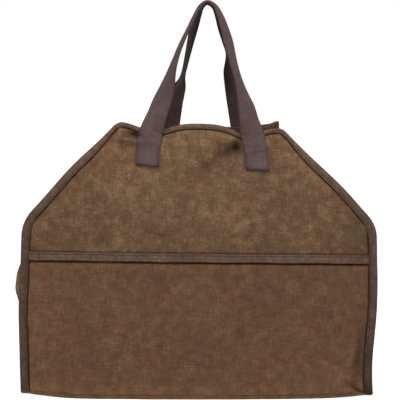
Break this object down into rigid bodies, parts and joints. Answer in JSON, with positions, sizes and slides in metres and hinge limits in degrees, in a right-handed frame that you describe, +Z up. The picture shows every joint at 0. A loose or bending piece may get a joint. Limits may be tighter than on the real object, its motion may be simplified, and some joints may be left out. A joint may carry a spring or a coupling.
{
  "type": "canvas log carrier",
  "caption": "Open-topped waxed-canvas firewood tote with slanted flaps, low closed ends, taped edges and webbing handles.",
  "frame": {"origin": "on the floor under the middle of the body's outer box", "axes": "+X along the body to the right as seen from the front, +Y from the front face to the back face, +Z up"},
  "size_m": [0.5032, 0.2465, 0.5291],
  "materials": {
    "canvas": "matt waxed canvas",
    "tape": "matt woven tape",
    "webbing": "matt cotton webbing"
  },
  "bodies": {
    "root": {"bottom_panel": "canvas", "front_lower_panel": "canvas", "front_upper_panel": "canvas", "back_lower_panel": "canvas", "back_upper_panel": "canvas", "left_end_panel": "canvas", "right_end_panel": "canvas", "front_seam_band": "tape", "back_seam_band": "tape", "front_edge_binding": "tape", "back_edge_binding": "tape", "left_end_binding": "tape", "right_end_binding": "tape", "left_base_binding": "tape", "right_base_binding": "tape", "front_handle": "webbing", "back_handle": "webbing"}
  },
  "joints": []
}
